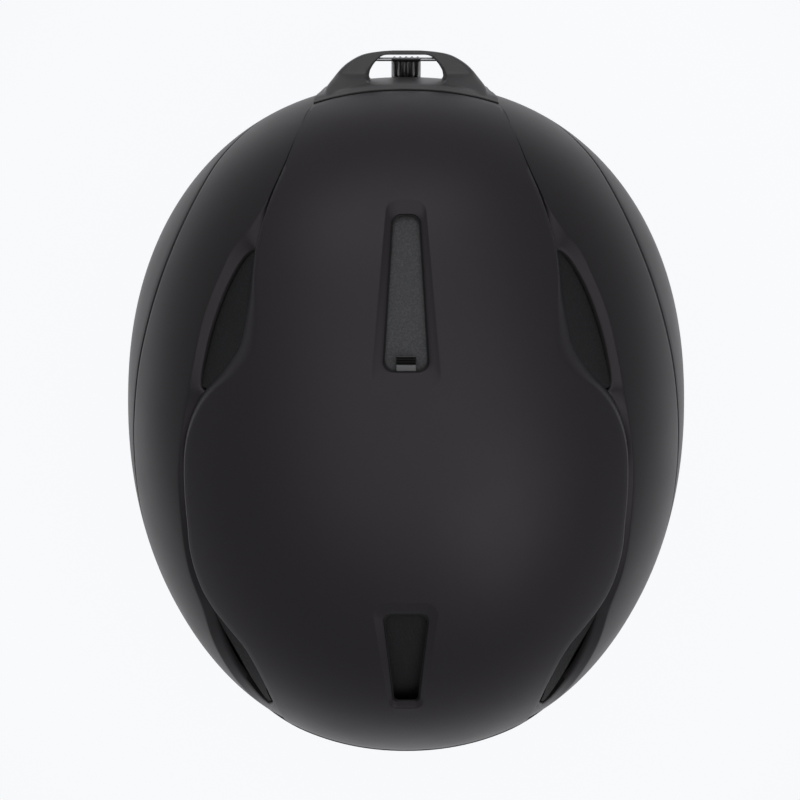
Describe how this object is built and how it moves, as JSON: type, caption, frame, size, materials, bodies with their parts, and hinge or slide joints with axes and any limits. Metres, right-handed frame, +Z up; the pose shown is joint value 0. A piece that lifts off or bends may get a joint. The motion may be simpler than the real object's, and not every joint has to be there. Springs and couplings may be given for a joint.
{
  "type": "ski helmet",
  "caption": "Matte black ski helmet with raised centre shell, sliding vent shutter, goggle-strap clip, ear pads, dial fit system and magnetic chin buckle.",
  "frame": {"origin": "on the centre plane at the shell's widest level, at the middle of the head cavity", "axes": "+Z up through the crown, -Y to the wearer's front, +Y to the rear and along the longest extent, +X to the wearer's left"},
  "size_m": [0.228, 0.2865, 0.2518],
  "materials": {
    "shell_black": "matte, slightly satin",
    "shell_side_black": "matte, slightly satin",
    "clip_grey": "moulded, satin",
    "trim_rubber": "matte",
    "foam": "expanded bead foam",
    "pad_fabric": "brushed fleece over foam",
    "vent_mesh": "fine grained",
    "webbing": "woven",
    "buckle_plastic": "moulded",
    "fit_plastic": "moulded",
    "steel": "brushed"
  },
  "bodies": {
    "helmet": {"shell_center": "shell_black", "shell_side": "shell_side_black", "shell_lower": "shell_side_black", "rim_trim": "trim_rubber", "vent_mesh_rear_left": "vent_mesh", "vent_mesh_rear_right": "vent_mesh", "vent_mesh_front_left": "vent_mesh", "vent_mesh_front_right": "vent_mesh", "vent_mesh_brow": "vent_mesh", "foam_liner": "foam", "brow_pad": "pad_fabric", "side_pad_left": "pad_fabric", "side_pad_right": "pad_fabric", "rear_pad_left": "pad_fabric", "rear_pad_right": "pad_fabric", "crown_pad_left": "pad_fabric", "crown_pad_right": "pad_fabric", "ear_pad_left": "pad_fabric", "ear_pad_right": "pad_fabric", "ear_stud_front_left": "fit_plastic", "ear_stud_front_right": "fit_plastic", "ear_stud_rear_left": "fit_plastic", "ear_stud_rear_right": "fit_plastic", "goggle_clip_base": "clip_grey", "goggle_clip_pin": "steel", "goggle_clip_catch": "clip_grey", "clip_screw_left": "steel", "clip_screw_right": "steel", "fit_housing": "fit_plastic", "fit_housing_cover": "fit_plastic", "nape_pad": "pad_fabric", "band_guide_left": "fit_plastic", "band_guide_right": "fit_plastic", "cradle_arm_left": "fit_plastic", "cradle_arm_right": "fit_plastic", "strap_front_left": "webbing", "strap_front_right": "webbing", "strap_rear_left": "webbing", "strap_rear_right": "webbing", "strap_anchor_front_left": "steel", "strap_anchor_front_right": "steel", "strap_anchor_rear_left": "steel", "strap_anchor_rear_right": "steel", "strap_splitter_left": "buckle_plastic", "strap_splitter_right": "buckle_plastic"},
    "vent_slider": {"vent_shutter": "vent_mesh", "vent_slider_knob": "clip_grey"},
    "goggle_flap": {"goggle_clip_flap": "trim_rubber"},
    "fit_dial": {"fit_dial": "fit_plastic", "fit_pinion": "fit_plastic"},
    "band_left": {"fit_band_left": "fit_plastic"},
    "band_right": {"fit_band_right": "fit_plastic"},
    "chin_strap_left": {"chin_strap_left": "webbing", "buckle_female": "buckle_plastic"},
    "chin_strap_right": {"chin_strap_right": "webbing", "chin_pad": "pad_fabric", "strap_adjuster": "buckle_plastic", "strap_keeper": "trim_rubber", "buckle_male": "buckle_plastic"}
  },
  "joints": [
    {"name": "vent_slide", "type": "hinge", "parent": "helmet", "child": "vent_slider", "pos_m": [0, 0.01326, -0.04006], "axis": [-1, 0, 0], "range_deg": [0, 15.5]},
    {"name": "goggle_flap_hinge", "type": "hinge", "parent": "helmet", "child": "goggle_flap", "pos_m": [0, 0.1396, 0.0105], "axis": [1, 0, 0], "range_deg": [0, 100]},
    {"name": "fit_dial_turn", "type": "hinge", "parent": "helmet", "child": "fit_dial", "pos_m": [0, 0.08618, -0.0601], "axis": [0, -0.9511, 0.309], "range_deg": [0, 160]},
    {"name": "band_left_slide", "type": "hinge", "parent": "helmet", "child": "band_left", "pos_m": [0, 0.012, -0.036], "axis": [0, 0.309, 0.9511], "range_deg": [0, 13]},
    {"name": "band_right_slide", "type": "hinge", "parent": "helmet", "child": "band_right", "pos_m": [0, 0.012, -0.036], "axis": [0, 0.309, 0.9511], "range_deg": [-13, 0]},
    {"name": "chin_strap_left_swing", "type": "hinge", "parent": "helmet", "child": "chin_strap_left", "pos_m": [0.088, -0.008, -0.098], "axis": [1, 0, 0], "range_deg": [-50, 50]},
    {"name": "chin_strap_right_swing", "type": "hinge", "parent": "helmet", "child": "chin_strap_right", "pos_m": [-0.088, -0.008, -0.098], "axis": [1, 0, 0], "range_deg": [-50, 50]}
  ],
  "couplings": [
    {"joint": "band_left_slide", "follows": "fit_dial_turn", "ratio": 0.080769},
    {"joint": "band_right_slide", "follows": "fit_dial_turn", "ratio": -0.080769}
  ]
}
